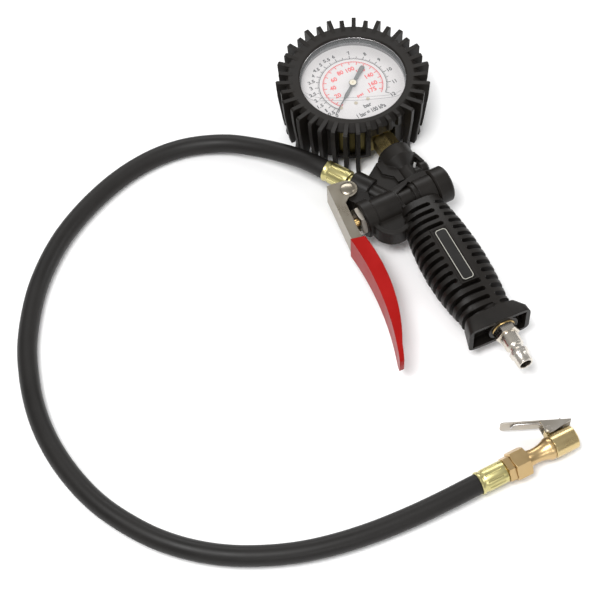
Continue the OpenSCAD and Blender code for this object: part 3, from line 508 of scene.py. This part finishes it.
def word(text, width, height, place):
    """Upright word of a given width and height in mm, as a thin mesh."""
    t = bpy.data.curves.new("word", "FONT")
    t.body = text
    t.extrude = 0.5
    t.offset = 0.034
    t.resolution_u = 3
    obj = link(bpy.data.objects.new("word", t))
    bpy.context.view_layer.update()
    mesh = bpy.data.meshes.new_from_object(obj.evaluated_get(bpy.context.evaluated_depsgraph_get()))
    bpy.data.objects.remove(obj)
    lo = Vector([min(v.co[i] for v in mesh.vertices) for i in range(3)])
    hi = Vector([max(v.co[i] for v in mesh.vertices) for i in range(3)])
    size = hi - lo
    fit = Matrix.Diagonal((width * MM / size.x, height * MM / size.y, PRINT_THICK * MM / size.z, 1))
    put = Matrix.Translation((place.x * MM, place.y * MM, (DIAL_TOP + 0.04) * MM))
    mesh.transform(put @ fit @ Matrix.Translation(-(lo + hi) / 2))
    return mesh


def numeral(value, digit_w, height, radius, angle):
    """Number centred on a radius of the dial; a point or a 1 takes less width than a digit."""
    text = f"{value:g}"
    width = sum(0.45 if c == "." else 0.6 if c == "1" else 1.0 for c in text) + 0.16 * (len(text) - 1)
    return word(text, width * digit_w, height, polar(radius, angle))


def print_piece(name, bm, words, mat):
    """One colour of the dial's print, from its lines and its words."""
    for mesh in words:
        bm.from_mesh(mesh)
        bpy.data.meshes.remove(mesh)
    mesh = bpy.data.meshes.new(name)
    bm.to_mesh(mesh)
    bm.free()
    mesh.materials.clear()
    mesh.materials.append(mat)
    mesh.polygons.foreach_set("material_index", [0] * len(mesh.polygons))
    obj = link(bpy.data.objects.new(name, mesh))
    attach(obj, "gun")


TOP = DIAL_TOP + 0.01
BAR_R, BAR_MARK_R, BAR_WORD_R = 22.4, 25.2, 27.7       # bar scale: its line, mark ends and numbers, mm
PSI_R, PSI_MARK_R, PSI_WORD_R = 19.9, 17.4, 13.4       # the same for the psi scale, which marks inwards

bm = bmesh.new()
flat_arc(bm, BAR_R, 0.38, bar_angle(0), bar_angle(12), TOP)
for i in range(2, 121):
    whole, half = i % 10 == 0, i % 5 == 0
    flat_bar(bm, BAR_R, BAR_MARK_R if whole else 24.6 if half else 23.5, bar_angle(i / 10),
             0.5 if whole else 0.42 if half else 0.24, TOP)
flat_bar(bm, BAR_R, BAR_MARK_R, bar_angle(0), 0.5, TOP)
words = [numeral(p, 1.75, 3.0 if p == int(p) else 2.7, BAR_WORD_R, bar_angle(p))
         for p in (0, 0.5, 1, 1.5, 2, 2.5, 3, 3.5, 4, 4.5, 5, 5.5, 6, 7, 8, 9, 10, 11, 12)]
words.append(word("bar", 5.6, 3.2, GAUGE + Vector((0.2, -19.6, 0))))
words.append(word("1 bar = 100 kPa", 20.8, 3.5, GAUGE + Vector((0.2, -24.9, 0))))
print_piece("dial_print_black", bm, words, PRINT_BLACK)

bm = bmesh.new()
flat_arc(bm, PSI_R, 0.52, psi_angle(0), psi_angle(175), TOP)
for p in range(0, 176, 2):
    if p % 10 == 0:
        flat_bar(bm, PSI_MARK_R, PSI_R, psi_angle(p), 0.6, TOP)
    else:
        flat_bar(bm, 18.8, PSI_R, psi_angle(p), 0.26, TOP)
words = [numeral(p, 2.0, 3.6, PSI_WORD_R, psi_angle(p)) for p in (20, 40, 60, 80, 100, 120, 140, 160, 175)]
words.append(word("psi", 4.6, 2.9, GAUGE + Vector((0.1, -10.2, 0))))
print_piece("dial_print_red", bm, words, PRINT_RED)


# ---- needle's hub, filling liquid's edge and label border --------------------------------

def ribbon(bm, points, width, z, thick=0.05):
    """Flat strip along a line of points, in mm."""
    sides = []
    for i, p in enumerate(points):
        d = points[min(i + 1, len(points) - 1)] - points[max(i - 1, 0)]
        n = Vector((-d.y, d.x, 0)).normalized() * width / 2
        sides.append((p - n, p + n))
    for (a, b), (c, d) in zip(sides, sides[1:]):
        slab(bm, [a, c, d, b], z, thick)


def turned(name, profile, centre, mat, body, steps=48):
    """Solid of revolution about +Z from a profile of (radius, height) pairs in mm."""
    verts, faces = [], []
    inner = [(r, z) for r, z in profile if r > 0]
    for k in range(steps):
        a = 2 * math.pi * k / steps
        verts += [((centre.x + r * math.cos(a)) * MM, (centre.y + r * math.sin(a)) * MM, z * MM)
                  for r, z in inner]
    n = len(inner)
    for k in range(steps):
        for j in range(n - 1):
            a, b = k * n + j, (k + 1) % steps * n + j
            faces.append((a, b, b + 1, a + 1))
    faces.append([k * n for k in range(steps)][::-1])
    faces.append([k * n + n - 1 for k in range(steps)])
    obj = mesh_object(name, verts, faces)
    obj.data.materials.append(mat)
    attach(obj, body)


HUB_TOP = DIAL_TOP + 2.5                 # height of the needle's boss, mm
turned("needle_hub_rim",
       [(2.7, HUB_TOP - 0.3), (2.7, HUB_TOP), (2.5, HUB_TOP + 0.1), (0.5, HUB_TOP + 0.1)],
       GAUGE, NEEDLE, "needle")
turned("needle_hub",
       [(2.3, HUB_TOP + 0.08), (2.3, HUB_TOP + 0.25), (2.05, HUB_TOP + 0.42), (0.5, HUB_TOP + 0.45)],
       GAUGE, HUB_CREAM, "needle")
turned("needle_hub_dot", [(0.5, HUB_TOP + 0.43), (0.5, HUB_TOP + 0.5), (0.38, HUB_TOP + 0.55)],
       GAUGE, BRASS_DARK, "needle", 20)

# Edge of the filling liquid where it meets the dial and the window, in mm from the dial's centre.
LEVEL_ON_DIAL = [(-30.5, 9.5), (-26.8, 3.2), (-20.1, -1.5), (-11.5, -6.2), (-2.9, -10.6), (5, -14.1),
                 (12.5, -17.5), (20, -20), (25.5, -19.5)]
LEVEL_ON_GLASS = [(-33.4, 6.0), (-32, 0.6), (-28.6, -3.4), (-21, -7.4), (-12.5, -12), (-2.7, -17.1),
                  (7, -21.2), (15.5, -24.4), (20.3, -25.4), (23.2, -24.6)]
bm = bmesh.new()
for line_points, width, z in ((LEVEL_ON_DIAL, 0.22, DIAL_TOP + 0.02),
                              (LEVEL_ON_GLASS, 0.3, GLASS_LOW - 0.07)):
    smooth_line = catmull([GAUGE + Vector((x, y, 0)) for x, y in line_points], 5)
    ribbon(bm, smooth_line, width, z)
LIQUID_EDGE = clear("liquid_edge", (0.22, 0.22, 0.23), 0.1, alpha=0.7)
bm_object("liquid_level", bm, LIQUID_EDGE)

RAKE = math.radians(-3)                  # turn of the handle about the valve crossing
LABEL_X, LABEL_Y = -6.75, -58.5          # the label's middle on the handle, mm
LABEL_Z = 35.3                           # height of the label's face, mm


def on_handle(x, y):
    """Point given in the handle's own directions, in mm from the valve crossing."""
    c, d = math.cos(RAKE), math.sin(RAKE)
    return Vector((VALVE.x + x * c - y * d, VALVE.y + x * d + y * c, 0))


def rounded(half_x, half_y, radius, steps=6):
    """Closed outline of a rounded rectangle about the label's middle."""
    pts = []
    for sx, sy, start in ((1, 1, 0), (-1, 1, 90), (-1, -1, 180), (1, -1, 270)):
        for k in range(steps + 1):
            a = math.radians(start + 90 * k / steps)
            pts.append(on_handle(LABEL_X + sx * (half_x - radius) + radius * math.cos(a),
                                 LABEL_Y + sy * (half_y - radius) + radius * math.sin(a)))
    return pts


bm = bmesh.new()
outer, inner = rounded(3.75, 19.9, 2.2), rounded(3.35, 19.5, 1.8)
for i in range(len(outer)):
    j = (i + 1) % len(outer)
    slab(bm, [outer[i], outer[j], inner[j], inner[i]], LABEL_Z)
bm_object("label_border", bm, PRINT_CREAM)


# ---- studio ---------------------------------------------------------------------------

floor = mesh_object("floor", [(-3, -3, 0), (3, -3, 0), (3, 3, 0), (-3, 3, 0)], [(0, 1, 2, 3)])
floor_mat = Shader("floor_paper")
paper = floor_mat.ramp(floor_mat.noise(3.0), [(0.3, (0.93, 0.93, 0.93)), (0.7, (0.95, 0.95, 0.95))])
floor_mat.feed(paper, "Base Color")
floor_mat.set(Roughness=0.9, Specular_IOR_Level=0.1)
floor.data.materials.append(floor_mat.done())
floor.location.z = -0.0002               # level with the tool's lowest point

world = bpy.data.worlds.new("studio")
scene.world = world
world.use_nodes = True
world.node_tree.nodes["Background"].inputs["Color"].default_value = (1, 1, 1, 1)
world.node_tree.nodes["Background"].inputs["Strength"].default_value = 0.42


def area(name, place, target, size, power):
    """White rectangular light at a place, facing a target; metres and watts."""
    data = bpy.data.lights.new(name, "AREA")
    data.shape = "RECTANGLE"
    data.size, data.size_y = size
    data.energy = power
    obj = link(bpy.data.objects.new(name, data))
    obj.location = place
    obj.rotation_mode = "QUATERNION"
    obj.rotation_quaternion = (Vector(target) - Vector(place)).to_track_quat("-Z", "Y")


area("key", (-0.55, -0.25, 1.35), (-0.08, 0, 0), (0.7, 0.5), 17.0)
area("rim", (0.35, 1.2, 0.9), (-0.05, 0.05, 0), (1.3, 0.35), 9.0)
area("side", (1.2, -0.3, 0.7), (0, 0, 0), (0.35, 0.9), 5.0)
area("front", (-0.35, -1.3, 0.75), (-0.05, 0, 0), (1.1, 0.3), 5.0)
scene.view_settings.view_transform = "Standard"
